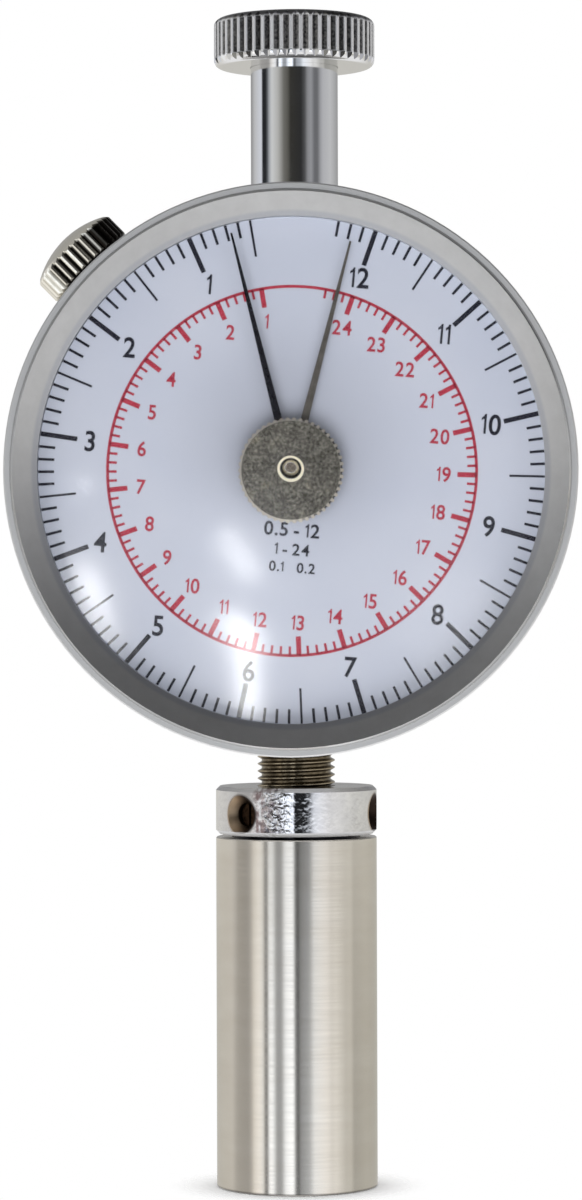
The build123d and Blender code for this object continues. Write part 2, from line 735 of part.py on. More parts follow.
with BuildPart() as peak_tube:
    peak_tube_bore = centre_arbor_radius + running_gap
    tube(dial_line, peak_tube_radius, peak_tube_bore, plate_back, peak_pointer_back + pointer_thickness)
save(peak_tube, "peak_tube")

with BuildPart() as peak_disc:
    peak_disc_bore = peak_tube_radius + press_gap
    tube(dial_line, peak_disc_radius, peak_disc_bore, peak_disc_back, peak_disc_back + peak_disc_thickness)
save(peak_disc, "peak_disc")

with BuildPart() as peak_pointer:
    pointer(pointer_plane(peak_pointer_back, peak_pointer_angle), peak_pointer_length, peak_disc_bore)
save(peak_pointer, "peak_pointer")

# Live needle, its fine-toothed boss and the brass ring at the middle, all on the centre arbor
with BuildPart() as live_pointer:
    pointer(pointer_plane(live_pointer_back, live_pointer_angle), live_pointer_length, collet_bore)
save(live_pointer, "live_pointer")

with BuildPart() as pointer_boss:
    boss_levels = (pointer_boss_back, pointer_boss_front)
    boss_face = pointer_boss_radius - pointer_boss_bevel
    boss_back = [(0, pointer_boss_back), (pointer_boss_radius, pointer_boss_back)]
    boss_edge = (pointer_boss_radius, pointer_boss_front - pointer_boss_bevel)
    boss_top = [(boss_face, pointer_boss_front), (0, pointer_boss_front)]
    revolve(outline(dial_section, boss_back + [boss_edge] + boss_top), axis=dial_axis)
    rib_grooves(dial_line, pointer_boss_radius, pointer_boss_teeth, boss_tooth_depth, *boss_levels)
    hole(dial_line, collet_bore, *boss_levels)
save(pointer_boss, "pointer_boss")

with BuildPart() as boss_ring:
    boss_ring_top = pointer_boss_front + boss_ring_height
    tube(dial_line, boss_ring_radius, boss_ring_radius - boss_ring_wall, pointer_boss_front, boss_ring_top)
save(boss_ring, "boss_ring")

# Crown, shaft and rubber roller that turn the holding needle back
crown_base = bezel_radius + crown_stand
crown_shoulder = crown_base + crown_height
with BuildPart() as reset_shaft:
    shaft_start = roller_place - roller_width / 2 - sliding_gap
    rod(crown_line, shaft_radius, shaft_start, crown_base + crown_socket - sliding_gap)
save(reset_shaft, "reset_shaft")

with BuildPart() as friction_roller:
    roller_start = roller_place - roller_width / 2
    tube(crown_line, roller_radius, shaft_radius + press_gap, roller_start, roller_start + roller_width)
save(friction_roller, "friction_roller")

with BuildPart() as reset_bush:
    tube(crown_line, crown_bush_radius, shaft_radius + running_gap, crown_bush_start, crown_bush_end)
save(reset_bush, "reset_bush")

with BuildPart() as reset_clip:
    clip_end = crown_bush_start - sliding_gap
    tube(crown_line, crown_bush_radius, shaft_radius + press_gap, clip_end - clip_thickness, clip_end)
save(reset_clip, "reset_clip")

with BuildPart() as reset_crown:
    with BuildSketch(crown_section):
        with BuildLine():
            dome_edge = crown_radius - edge_chamfer
            side = [(0, crown_base), (dome_edge, crown_base), (crown_radius, crown_base + edge_chamfer)]
            side += [(crown_radius, crown_shoulder - edge_chamfer), (dome_edge, crown_shoulder)]
            Polyline((0, crown_shoulder + crown_dome), *side)
            TangentArc((0, crown_shoulder + crown_dome), (dome_edge, crown_shoulder), tangent=(1, 0))
        make_face()
    revolve(axis=crown_axis)
    rib_grooves(crown_line, crown_radius, crown_ribs, rib_depth, crown_base, crown_shoulder + crown_dome)
    hole(crown_line, shaft_radius + press_gap, crown_base, crown_base + crown_socket)
save(reset_crown, "reset_crown")

# Bezel: a turned ring that holds the crystal and the dial, and turns on the case to set the zero
skirt_radius = bezel_radius - bezel_wall
skirt_shoulder = case_front + free_gap / 2
rim_inner = bezel_radius - bezel_rim_width
cone_outer = rim_inner - bezel_step_width
lip_edge = lip_back + bezel_lip_edge
rim_ledge = rim_front - bezel_step
with BuildPart() as bezel:
    skirt = [(skirt_radius, skirt_back), (bezel_radius - edge_chamfer, skirt_back)]
    skirt += [(bezel_radius, skirt_back + edge_chamfer), (bezel_radius, rim_ledge - bezel_rim_chamfer)]
    rim = [(bezel_radius - bezel_rim_chamfer, rim_ledge), (rim_inner, rim_ledge), (cone_outer, rim_front)]
    cone = [(bezel_lip_radius, lip_edge), (bezel_lip_radius, lip_back)]
    seat = [(seat_radius, lip_back), (seat_radius, skirt_shoulder), (skirt_radius, skirt_shoulder)]
    revolve(outline(dial_section, skirt + rim + cone + seat), axis=dial_axis)
    with BuildSketch(dial_line.offset(snap_back - sliding_gap)) as groove:
        Circle(skirt_radius + snap_ring_depth)
        Circle(case_radius, mode=Mode.SUBTRACT)
    extrude(groove.sketch, amount=snap_ring_height + 2 * sliding_gap, mode=Mode.SUBTRACT)
save(bezel, "bezel")

# Snap ring: a split spring ring in the case's groove that keeps the bezel on
with BuildPart() as bezel_snap_ring:
    snap_outer = skirt_radius + snap_ring_depth - sliding_gap
    tube(dial_line, snap_outer, case_radius - snap_ring_depth, snap_back, snap_front)
    with BuildSketch(dial_line.offset(snap_back)) as split_gap:
        with Locations((-case_radius, 0)):
            Rectangle(2 * case_wall, snap_ring_split)
    extrude(split_gap.sketch, amount=snap_ring_height, mode=Mode.SUBTRACT)
save(bezel_snap_ring, "bezel_snap_ring")

# Crystal: a domed window with a flat edge behind the bezel's lip
dome_edge_radius = bezel_lip_radius - sliding_gap
hollow_edge_radius = dome_edge_radius - spacer_wall / 3
with BuildPart() as crystal:
    with BuildSketch(dial_section):
        with BuildLine():
            TangentArc((0, lip_back + crystal_dome), (dome_edge_radius, lip_back), tangent=(1, 0))
            edge = [(dome_edge_radius, lip_back), (fitted_radius, lip_back), (fitted_radius, crystal_back)]
            Polyline(*edge, (hollow_edge_radius, crystal_back))
            TangentArc((0, crystal_back + crystal_dome), (hollow_edge_radius, crystal_back), tangent=(1, 0))
            Line((0, crystal_back + crystal_dome), (0, lip_back + crystal_dome))
        make_face()
    revolve(axis=dial_axis)
save(crystal, "crystal")

# Spacer ring, dial plate and retaining ring, stacked behind the crystal
with BuildPart() as spacer_ring:
    tube(dial_line, fitted_radius, spacer_inner, dial_front, crystal_back)
save(spacer_ring, "spacer_ring")

with BuildPart() as dial_plate:
    tube(dial_line, fitted_radius, dial_hole_radius, dial_back, dial_front)
save(dial_plate, "dial_plate")

with BuildPart() as dial_retaining_ring:
    retaining_ring_back = dial_back - retaining_ring_height
    tube(dial_line, fitted_radius, fitted_radius - retaining_ring_wall, retaining_ring_back, dial_back)
save(dial_retaining_ring, "dial_retaining_ring")
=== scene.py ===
import bpy
import bmesh
import math
from mathutils import Matrix, Quaternion, Vector


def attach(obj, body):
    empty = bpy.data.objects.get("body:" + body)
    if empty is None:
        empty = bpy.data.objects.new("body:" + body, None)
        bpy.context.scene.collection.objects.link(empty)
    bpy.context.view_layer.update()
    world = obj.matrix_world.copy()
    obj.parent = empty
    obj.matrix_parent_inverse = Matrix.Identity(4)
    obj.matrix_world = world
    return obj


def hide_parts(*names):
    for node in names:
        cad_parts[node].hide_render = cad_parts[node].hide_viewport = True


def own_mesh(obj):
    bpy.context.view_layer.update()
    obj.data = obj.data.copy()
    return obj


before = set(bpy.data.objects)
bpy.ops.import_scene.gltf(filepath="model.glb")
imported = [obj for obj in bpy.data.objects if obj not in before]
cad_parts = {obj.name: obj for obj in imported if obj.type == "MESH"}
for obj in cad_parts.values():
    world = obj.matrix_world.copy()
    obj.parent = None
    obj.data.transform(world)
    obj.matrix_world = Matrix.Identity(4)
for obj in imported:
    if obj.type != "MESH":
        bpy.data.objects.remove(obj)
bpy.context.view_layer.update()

# Camera: a long lens level with the middle of the tester, a little to the right of it,
# framed so that the knob and the guard cap almost fill the height of the picture.
mm = 0.001
scene = bpy.context.scene
scene.view_settings.view_transform = "Standard"
camera = bpy.data.objects.new("camera", bpy.data.cameras.new("camera"))
scene.collection.objects.link(camera)
camera.data.sensor_width = 36
camera.data.lens = 122.5
camera.data.clip_start = 0.01
camera.location = (16 * mm, -422 * mm, 60 * mm)
camera_aim = Vector((-0.49 * mm, 0, 60.47 * mm))
camera_roll = Quaternion((0, 0, 1), math.radians(-0.17))
sight_line = camera_aim - camera.location
camera.rotation_mode = "QUATERNION"
camera.rotation_quaternion = sight_line.to_track_quat("-Z", "Y") @ camera_roll
scene.camera = camera

# Studio: a white table and white panels round the tester, a dark gap where the photographer stands,
# and a dim ceiling. Plated metal shows these panels as stripes, and the view behind the tester is white.
# A row lists bearings in degrees to the right of the front with the brightness or tint there.
table_panels = [(-180, 0.52), (-130, 0.66), (-105, 0.70), (-96, 0.52), (-72, 0.46), (-67, 0.58),
                (-62, 1.05), (-55, 1.30), (-48, 1.24), (-44, 0.17), (-41, 0.17), (-38, 1.80),
                (-33, 1.75), (-27, 0.52), (-20, 0.53), (-14, 1.50), (-6, 1.85), (-3, 1.80),
                (0, 0.42), (4, 0.11), (7, 0.50), (12, 0.62), (19, 0.78), (27, 1.35), (46, 1.25),
                (53, 1.03), (60, 1.10), (76, 0.70), (86, 0.70), (92, 0.46), (120, 0.56), (180, 0.52)]
edge_panels = [(-180, 0.58), (-140, 0.80), (-110, 0.74), (-70, 0.50), (-58, 0.58), (-52, 0.82),
               (-43, 0.34), (-38, 0.34), (-20, 0.44), (-13, 1.45), (-3, 1.40), (0, 0.02), (21, 0.02),
               (27, 0.84), (34, 1.02), (50, 0.84), (70, 0.95), (85, 0.90), (120, 0.78), (160, 0.56),
               (180, 0.58)]
wall_panels = [(-180, 0.34), (-150, 0.41), (-127, 0.74), (-96, 0.97), (-91, 0.03), (-80, 0.03),
               (-74, 0.16), (-68, 0.56), (-60, 0.90), (-42, 0.66), (-26, 0.23), (-15, 0.14), (-8, 0.05),
               (20, 0.04), (30, 0.12), (38, 0.38), (47, 0.45), (57, 0.22), (66, 0.22), (76, 0.52),
               (84, 0.66), (112, 0.76), (150, 0.48), (180, 0.34)]
ceiling_panels = [(-180, 0.280), (-150, 0.340), (-95, 0.380), (-65, 0.140), (-20, 0.095), (25, 0.090),
                  (60, 0.070), (85, 0.040), (110, 0.120), (140, 0.220), (180, 0.280)]
panel_tints = [(-180, (1.02, 1.00, 0.93)), (-60, (1.03, 1.00, 0.96)), (-36, (0.95, 1.00, 1.08)),
               (20, (0.95, 1.00, 1.08)), (45, (1.01, 1.00, 1.00)), (100, (1.02, 1.00, 0.92)),
               (180, (1.02, 1.00, 0.93))]
wall_tints = [(-180, (1.00, 1.00, 1.00)), (-100, (1.00, 1.00, 1.02)), (-90, (0.90, 0.97, 1.15)),
              (-74, (0.94, 1.00, 1.10)), (-60, (0.99, 1.00, 1.00)), (-40, (1.01, 1.00, 0.96)),
              (-20, (1.03, 1.00, 0.89)), (2, (1.06, 1.00, 0.88)), (14, (1.00, 1.00, 1.02)),
              (60, (0.98, 0.99, 1.06)), (95, (1.00, 1.00, 1.02)), (180, (1.00, 1.00, 1.00))]
plain_white = [(-180, (1, 1, 1)), (180, (1, 1, 1))]
table_to_edge, edge_to_wall, wall_to_ceiling = (-0.066, -0.056), (-0.035, 0.06), (0.18, 0.45)
table_to_floor, floor_grey = (-0.25, -0.60), (0.39, 0.39, 0.39)
floor_to_foot, foot_white = (-0.90, -1.00), (1.00, 1.00, 1.00)
ceiling_to_overhead, overhead_grey = (0.90, 0.97), (0.13, 0.13, 0.13)
world = bpy.data.worlds.new("studio")
world.use_nodes = True
scene.world = world
nodes, links = world.node_tree.nodes, world.node_tree.links


def node(kind, **settings):
    """New node in the tree at hand, with its settings and the values of its sockets by position."""
    made = nodes.new("ShaderNode" + kind)
    for key, value in settings.items():
        if key[0] == "i" and key[1:].isdigit():
            made.inputs[int(key[1:])].default_value = value
        else:
            setattr(made, key, value)
    return made


def ramp(source, stops, blend="LINEAR"):
    """Colours over a 0 to 1 source; a stop is a place and a grey level or a colour."""
    made = node("ValToRGB")
    made.color_ramp.interpolation = blend
    while len(made.color_ramp.elements) < len(stops):
        made.color_ramp.elements.new(1)
    for element, (place, tone) in zip(made.color_ramp.elements, stops):
        element.position = place
        element.color = (*tone, 1) if isinstance(tone, tuple) else (tone, tone, tone, 1)
    links.new(source, made.inputs[0])
    return made.outputs[0]


def spread(source, low, high):
    """Source rescaled so that low becomes 0 and high becomes 1, clamped and eased."""
    made = node("MapRange", interpolation_type="SMOOTHSTEP", i1=low, i2=high)
    links.new(source, made.inputs[0])
    return made.outputs[0]


def blended(factor, first, second):
    """Mix of two colours, each a socket or a plain colour."""
    made = node("Mix", data_type="RGBA")
    links.new(factor, made.inputs[0])
    for place, tone in ((6, first), (7, second)):
        if isinstance(tone, tuple):
            made.inputs[place].default_value = (*tone, 1)
        else:
            links.new(tone, made.inputs[place])
    return made.outputs[2]


way = node("SeparateXYZ")
links.new(node("TexCoord").outputs["Generated"], way.inputs[0])
backward = node("Math", operation="MULTIPLY", i1=-1)
links.new(way.outputs[1], backward.inputs[0])
compass = node("Math", operation="ARCTAN2")
links.new(way.outputs[0], compass.inputs[0])
links.new(backward.outputs[0], compass.inputs[1])
full_turn = node("MapRange", i1=-math.pi, i2=math.pi)
links.new(compass.outputs[0], full_turn.inputs[0])
rise = way.outputs[2]


def panel_row(row, tints):
    """One row of panels round the tester, each in its tint, halved to stay within a ramp's range."""
    stops = []
    for angle, tone in row:
        for (first, near), (last, far) in zip(tints, tints[1:]):
            if first <= angle <= last:
                share = (angle - first) / (last - first)
                tint = Vector(near).lerp(Vector(far), share)
        stops.append(((angle + 180) / 360, tuple(0.5 * tone * tint)))
    return ramp(full_turn.outputs[0], stops)


level = blended(spread(rise, *table_to_edge), panel_row(table_panels, panel_tints),
                panel_row(edge_panels, panel_tints))
level = blended(spread(rise, *edge_to_wall), level, panel_row(wall_panels, wall_tints))
level = blended(spread(rise, *table_to_floor), level, floor_grey)
level = blended(spread(rise, *floor_to_foot), level, foot_white)
level = blended(spread(rise, *wall_to_ceiling), level, panel_row(ceiling_panels, plain_white))
level = blended(spread(rise, *ceiling_to_overhead), level, overhead_grey)
panels = nodes["Background"]
panels.inputs[1].default_value = 2
links.new(level, panels.inputs[0])
white = node("Background", i0=(1, 1, 1, 1), i1=1)
seen = node("MixShader")
links.new(node("LightPath").outputs["Is Camera Ray"], seen.inputs[0])
links.new(panels.outputs[0], seen.inputs[1])
links.new(white.outputs[0], seen.inputs[2])
links.new(seen.outputs[0], nodes["World Output"].inputs[0])

# Soft boxes: one large lamp at the front, two small ones low down that only the boss and needles shade,
# and one overhead for the table. They light paint and shadow, and the metal shows the panels instead.
lamp_aim = (0, 0, 0.07)


def lamp(name, place, aim, width, height, watts):
    """One rectangular lamp that no mirror or window shows."""
    light = bpy.data.lights.new(name, "AREA")
    light.shape = "RECTANGLE"
    light.size, light.size_y = width, height
    light.energy = watts
    box = bpy.data.objects.new(name, light)
    scene.collection.objects.link(box)
    box.location = place
    box.rotation_mode = "QUATERNION"
    box.rotation_quaternion = (Vector(aim) - Vector(place)).to_track_quat("-Z", "Y")
    box.visible_camera = box.visible_glossy = box.visible_transmission = False
    return box


lamp("front_box", (-0.12, -0.76, 0.02), lamp_aim, 0.60, 0.60, 1.76)
low_box = lamp("low_box", (-0.04, -0.36, -0.16), lamp_aim, 0.24, 0.24, 0.59)
right_box = lamp("right_box", (0.09, -0.15, 0.00), lamp_aim, 0.12, 0.12, 0.055)
hub_shadow = bpy.data.collections.new("hub_shadow")
for name in ("pointer_boss", "live_pointer", "peak_pointer"):
    hub_shadow.objects.link(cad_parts[name])
for box in (low_box, right_box):
    box.light_linking.blocker_collection = hub_shadow
top_box = lamp("top_box", (0, 0.05, 0.60), (0, 0, 0), 0.80, 0.80, 5.4)

# Table top: white card under the tester. It takes the soft contact shadow near the guard cap and
# fades out into the white behind it, so that no edge of it is seen.
card_radius, card_drop = 0.4, 0.03 * mm
fade_from, fade_to = 7 * mm, 14 * mm
table_mesh = bpy.data.meshes.new("table_top")
shape = bmesh.new()
bmesh.ops.create_circle(shape, cap_ends=True, segments=96, radius=card_radius)
shape.to_mesh(table_mesh)
shape.free()
table_top = bpy.data.objects.new("table_top", table_mesh)
scene.collection.objects.link(table_top)
table_top.location.z = -card_drop
table_top.visible_glossy = table_top.visible_shadow = False
shadow_taker = bpy.data.collections.new("shadow_taker")
shadow_taker.objects.link(table_top)
top_box.light_linking.receiver_collection = shadow_taker
card = bpy.data.materials.new("white_card")
card.use_nodes = True
nodes, links = card.node_tree.nodes, card.node_tree.links
nodes.remove(nodes["Principled BSDF"])
reach = node("VectorMath", operation="LENGTH")
links.new(node("TexCoord").outputs["Object"], reach.inputs[0])
paper = node("BsdfDiffuse", i0=(0.93, 0.93, 0.93, 1))
clear = node("BsdfTransparent")
fade = node("MixShader")
links.new(spread(reach.outputs["Value"], fade_from, fade_to), fade.inputs[0])
links.new(paper.outputs[0], fade.inputs[1])
links.new(clear.outputs[0], fade.inputs[2])
links.new(fade.outputs[0], nodes["Material Output"].inputs[0])
table_mesh.materials.append(card)

# Case, back cover and its screws: a turned ring and a flat cover, nickel plated and rubbed to a satin.
# The bezel snaps over the front of the ring and four pan-head screws hold the cover.


def start_finish(name, colour, metal, rough):
    """Begin a finish: one shader, whose nodes the next lines add to."""
    global nodes, links, shader
    made = bpy.data.materials.new(name)
    made.use_nodes = True
    nodes, links = made.node_tree.nodes, made.node_tree.links
    shader = nodes["Principled BSDF"]
    shader.inputs["Base Color"].default_value = (*colour, 1)
    shader.inputs["Metallic"].default_value = metal
    shader.inputs["Roughness"].default_value = rough
    return made


def grain(scale, stretch=(1, 1, 1), detail=3.0):
    """Cloudy grain fixed to the piece, in features per metre; stretch draws it out along an axis."""
    made = node("TexNoise")
    made.inputs["Scale"].default_value = scale
    made.inputs["Detail"].default_value = detail
    place = node("Mapping")
    place.inputs["Scale"].default_value = stretch
    links.new(node("TexCoord").outputs["Object"], place.inputs[0])
    links.new(place.outputs[0], made.inputs["Vector"])
    return made.outputs[0]


def paint_with(tone):
    """Colour of the finish, from a socket."""
    links.new(tone, shader.inputs["Base Color"])


def roughen_with(tone):
    """Roughness of the finish, from a socket."""
    links.new(tone, shader.inputs["Roughness"])


def relief(height, depth, strength=1.0):
    """Fine relief of the surface, from a height of 0 to 1 over a depth in metres."""
    made = node("Bump")
    made.inputs["Strength"].default_value = strength
    made.inputs["Distance"].default_value = depth
    links.new(height, made.inputs["Height"])
    links.new(made.outputs[0], shader.inputs["Normal"])


def dress(made, *names):
    """Put a finish on CAD nodes."""
    for name in names:
        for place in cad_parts[name].material_slots:
            place.material = made


satin_nickel = start_finish("satin_nickel", (0.60, 0.59, 0.57), 1, 0.34)
paint_with(ramp(grain(260), [(0.30, (0.585, 0.575, 0.555)), (0.70, (0.62, 0.61, 0.59))]))
roughen_with(ramp(grain(1500, (1, 0.12, 1)), [(0.30, 0.31), (0.70, 0.40)]))
relief(grain(5000, (1, 0.15, 1)), 0.004 * mm)
dress(satin_nickel, "case", "back_cover")
screw_steel = start_finish("screw_steel", (0.82, 0.81, 0.80), 1, 0.22)
paint_with(ramp(grain(900), [(0.35, (0.76, 0.75, 0.74)), (0.65, (0.86, 0.85, 0.84))]))
relief(grain(6000), 0.003 * mm)
dress(screw_steel, "back_cover_screws", "front_plate_screws", "bridge_screws", "cock_screws",
      "guide_screws", "bezel_snap_ring", "dial_retaining_ring", "reset_clip", "spindle_stop_ring",
      "guide_pin")

# Movement: brass plates, pillars, wheels and bushes, sawn and hobbed, with a blued hairspring and steel
# arbors. It is screwed to the front plate inside the case, where it shows when the back cover is off.
movement_brass = start_finish("movement_brass", (0.72, 0.52, 0.24), 1, 0.28)
paint_with(ramp(grain(700), [(0.30, (0.62, 0.43, 0.19)), (0.70, (0.76, 0.56, 0.27))]))
relief(grain(4000, (1, 1, 0.1)), 0.003 * mm)
dress(movement_brass, "front_plate", "rear_bridge", "bridge_pillars", "centre_cock", "centre_bush",
      "lower_bush", "upper_bush", "reset_bush", "spindle_guide", "transfer_wheel", "hairspring_collet",
      "hairspring_stud", "peak_disc", "peak_tube")
arbor_steel = start_finish("arbor_steel", (0.58, 0.57, 0.55), 1, 0.22)
roughen_with(ramp(grain(2500), [(0.35, 0.16), (0.65, 0.30)]))
dress(arbor_steel, "rack_pinion", "reset_shaft")
spring_wire = start_finish("spring_wire", (0.22, 0.23, 0.27), 1, 0.30)
paint_with(ramp(grain(1200), [(0.35, (0.15, 0.16, 0.20)), (0.65, (0.27, 0.27, 0.29))]))
dress(spring_wire, "hairspring")
roller_rubber = start_finish("roller_rubber", (0.02, 0.02, 0.02), 0, 0.75)
paint_with(ramp(grain(3000), [(0.35, (0.014, 0.014, 0.014)), (0.65, (0.03, 0.03, 0.03))]))
dress(roller_rubber, "friction_roller")

# Main spring: coiled from blued steel wire, set in the tube between the top of the spindle and the plug
# of the end cap. It shortens as the spindle is pressed up, but here it is one fixed copy of the CAD
# spring on the housing.
main_coil = bpy.data.objects.new("main_coil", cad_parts["main_spring"].data.copy())
scene.collection.objects.link(main_coil)
main_coil.data.materials.clear()
main_coil.data.materials.append(spring_wire)
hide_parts("main_spring")
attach(main_coil, "housing")
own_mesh(main_coil)

# Spindle and probe: the pressing rod, turned from steel, with a fine thread on its neck that has
# browned with oil, and a bright probe screwed on its end under the guard cap. The thread roots are
# painted darker, for the oil and as painted shade.
thread_root, thread_crest = 3.78 * mm, 3.96 * mm
neck_steel = start_finish("neck_steel", (0.30, 0.25, 0.19), 1, 0.30)


def own_axes(turn=(0, 0, 0), shift=(0, 0, 0)):
    """Places on the piece, turned and shifted so that the piece's axis stands upright."""
    made = node("Mapping")
    made.inputs["Rotation"].default_value = turn
    made.inputs["Location"].default_value = shift
    links.new(node("TexCoord").outputs["Object"], made.inputs[0])
    return made.outputs[0]


def along(axis, low, high, places=None):
    """Place along an axis of the piece, from 0 at low to 1 at high."""
    parts = node("SeparateXYZ")
    links.new(places or own_axes(), parts.inputs[0])
    return spread(parts.outputs["XYZ".index(axis)], low, high)


def distance_in(plane, places):
    """Distance from the middle in a plane that is named by the axes to keep."""
    flat = node("VectorMath", operation="MULTIPLY", i1=plane)
    length = node("VectorMath", operation="LENGTH")
    links.new(places, flat.inputs[0])
    links.new(flat.outputs[0], length.inputs[0])
    return length.outputs["Value"]


def off_axis(low, high, places=None):
    """Distance from the piece's upright axis, from 0 at low to 1 at high."""
    return spread(distance_in((1, 1, 0), places or own_axes()), low, high)


def product(first, second):
    """Two factors times each other."""
    made = node("Math", operation="MULTIPLY")
    links.new(first, made.inputs[0])
    links.new(second, made.inputs[1])
    return made.outputs[0]


def lathe_lines(strength):
    """Draw reflections out across the rings that a turning tool leaves round the upright axis."""
    shader.inputs["Anisotropic"].default_value = strength
    shader.inputs["Anisotropic Rotation"].default_value = 0.25
    rings = node("Tangent", direction_type="RADIAL", axis="Z")
    links.new(rings.outputs[0], shader.inputs["Tangent"])


lathe_lines(0.9)
# Thread roots darker than the crests: oil and painted shade.
oil_and_root_shade = ramp(grain(1400, (1, 1, 2.5)), [(0.30, (0.09, 0.072, 0.042)), (0.70, (0.25, 0.205, 0.14))])
paint_with(blended(off_axis(thread_root, thread_crest), oil_and_root_shade, (0.42, 0.355, 0.25)))
roughen_with(ramp(grain(3000), [(0.30, 0.19), (0.70, 0.26)]))
dress(neck_steel, "spindle")
probe_steel = start_finish("probe_steel", (0.62, 0.61, 0.59), 1, 0.20)
roughen_with(ramp(grain(5000, (0.1, 0.1, 1)), [(0.30, 0.14), (0.70, 0.28)]))
dress(probe_steel, "probe")

# Guard cap: a stainless cup bored from bar, turned all over and pushed over the probe on the ring nut's
# spigot. The tool leaves fine rings, so the panels show as long upright stripes. Its foot edge is painted
# dark as shade.
foot_shade_low, foot_shade_high = 0.06 * mm, 0.30 * mm
turned_stainless = start_finish("turned_stainless", (0.68, 0.64, 0.58), 1, 0.18)
lathe_lines(0.8)
steel = ramp(grain(420, (0.3, 0.3, 1)), [(0.30, (0.67, 0.63, 0.565)), (0.70, (0.715, 0.68, 0.62))])
# Painted shade: the lowest edge of the foot is darkened.
paint_with(blended(along("Z", foot_shade_low, foot_shade_high), (0.20, 0.19, 0.175), steel))
roughen_with(ramp(grain(9000, (0.02, 0.02, 1)), [(0.30, 0.14), (0.70, 0.21)]))
relief(grain(14000, (0.015, 0.015, 1), 2), 0.002 * mm, 0.35)
dress(turned_stainless, "guard_cap")

# Ring nut and set screws: the collar that holds the probe on the neck, chromed over a pitted skin,
# with three countersunk holes whose rims are worn to the copper under the chrome. The sunk screws are
# rusty. Painted shade darkens the far side and depth of each hole and the spigot under the seam with the
# cap, and a painted highlight lightens the lower chamfer.
nut_radius = 8.3 * mm
screw_angles = (-131.7, -11.7, 108.3)
screw_height = 38.55 * mm
hole_inner, hole_outer = 1.9 * mm, 2.25 * mm
hole_bottom, hole_mouth = 6.9 * mm, 8.1 * mm
nut_chrome = start_finish("nut_chrome", (0.66, 0.66, 0.67), 1, 0.10)
nut_width = along("X", -nut_radius, nut_radius)
pitted = ramp(nut_width, [(0.22, 0.04), (0.28, 1.0), (0.36, 0.8), (0.41, 0.30), (0.49, 0.03),
                          (0.58, 0.015), (0.63, 0.04), (0.70, 0.02), (1.0, 0.02)])
pits = ramp(grain(1700, (1, 1, 1.1), 1.5), [(0.34, 0.0), (0.66, 1.0)])
relief(product(pits, pitted), 0.12 * mm)
skin = ramp(grain(900), [(0.35, (0.67, 0.67, 0.69)), (0.65, (0.71, 0.71, 0.72))])
skin = blended(product(ramp(pits, [(0.10, 1.0), (0.42, 0.0)]), pitted), skin, (0.13, 0.12, 0.14))
smooth_band = ramp(nut_width, [(0.47, 0.0), (0.50, 1.0), (0.60, 1.0), (0.64, 0.0)])
dulled = blended(smooth_band, ramp(grain(2600), [(0.35, 0.08), (0.65, 0.14)]), (0.035, 0.035, 0.035))
sunk = off_axis(hole_bottom, hole_mouth)
for angle in screw_angles:
    places = own_axes((0, 0, -math.radians(angle)), (0, 0, -screw_height))
    in_hole = spread(distance_in((0, 1, 1), places), hole_outer, hole_inner)
    bare = product(in_hole, along("X", 0, 4 * mm, places))
    # Painted shade: the copper darkens towards each hole's far wall, and deep in the hole it is near
    # black.
    copper = ramp(along("Y", -2.1 * mm, 2.1 * mm, places),
                  [(0.0, (0.42, 0.32, 0.22)), (0.25, (0.33, 0.24, 0.16)),
                   (0.60, (0.06, 0.04, 0.028)), (1.0, (0.03, 0.02, 0.016))])
    copper = blended(sunk, (0.006, 0.004, 0.003), copper)
    beside = ramp(along("Y", 1.2 * mm, 5.6 * mm, places),
                  [(0.0, 0.0), (0.12, 1.0), (0.45, 0.7), (1.0, 0.0)])
    stain = product(beside, along("X", 2 * mm, 5 * mm, places))
    stain = product(stain, ramp(grain(1500, (1, 1, 0.5), 4), [(0.43, 0.0), (0.57, 0.95)]))
    skin = blended(bare, blended(stain, skin, (0.20, 0.14, 0.14)), copper)
    dulled = blended(bare, dulled, (0.45, 0.45, 0.45))
seam = along("Z", 36 * mm, 37 * mm)
# Painted highlight: the lower chamfer is lighter than the chrome round it; its roughness is raised too.
lower_chamfer = ramp(seam, [(0.27, 0.0), (0.30, 1.0), (0.87, 1.0), (0.90, 0.0)])
skin = blended(lower_chamfer, skin, (0.95, 0.95, 0.96))
dulled = blended(lower_chamfer, dulled, (0.62, 0.62, 0.62))
upper_chamfer, flat_top = (40.85 * mm, 40.95 * mm), (41.22 * mm, 41.27 * mm)
dulled = blended(along("Z", *upper_chamfer), dulled, (0.42, 0.42, 0.42))
dulled = blended(along("Z", *flat_top), dulled, (0.14, 0.14, 0.14))
# Painted shade: the spigot just under the seam with the cap is painted near black.
seam_shade = product(along("Z", 35.2 * mm, 35.6 * mm), ramp(seam, [(0.25, 1.0), (0.28, 0.0)]))
paint_with(blended(seam_shade, skin, (0.012, 0.012, 0.014)))
roughen_with(dulled)
dress(nut_chrome, "ring_nut")
rusted_screw = start_finish("rusted_screw", (0.05, 0.03, 0.02), 1, 0.5)
paint_with(ramp(grain(2500), [(0.30, (0.02, 0.012, 0.008)), (0.70, (0.09, 0.052, 0.03))]))
relief(grain(5000), 0.01 * mm)
dress(rusted_screw, "ring_nut_set_screws")

# Spring tube: thin steel tube pressed into the top of the case, drawn, polished and chromed.
# The end cap screws on its upper end and the main spring stands inside it.
tube_chrome = start_finish("tube_chrome", (0.63, 0.635, 0.64), 1, 0.07)
roughen_with(ramp(grain(900, (1, 1, 0.4)), [(0.35, 0.05), (0.65, 0.10)]))
relief(grain(600, (1, 1, 0.25), 2), 0.004 * mm, 0.4)
dress(tube_chrome, "spring_tube")
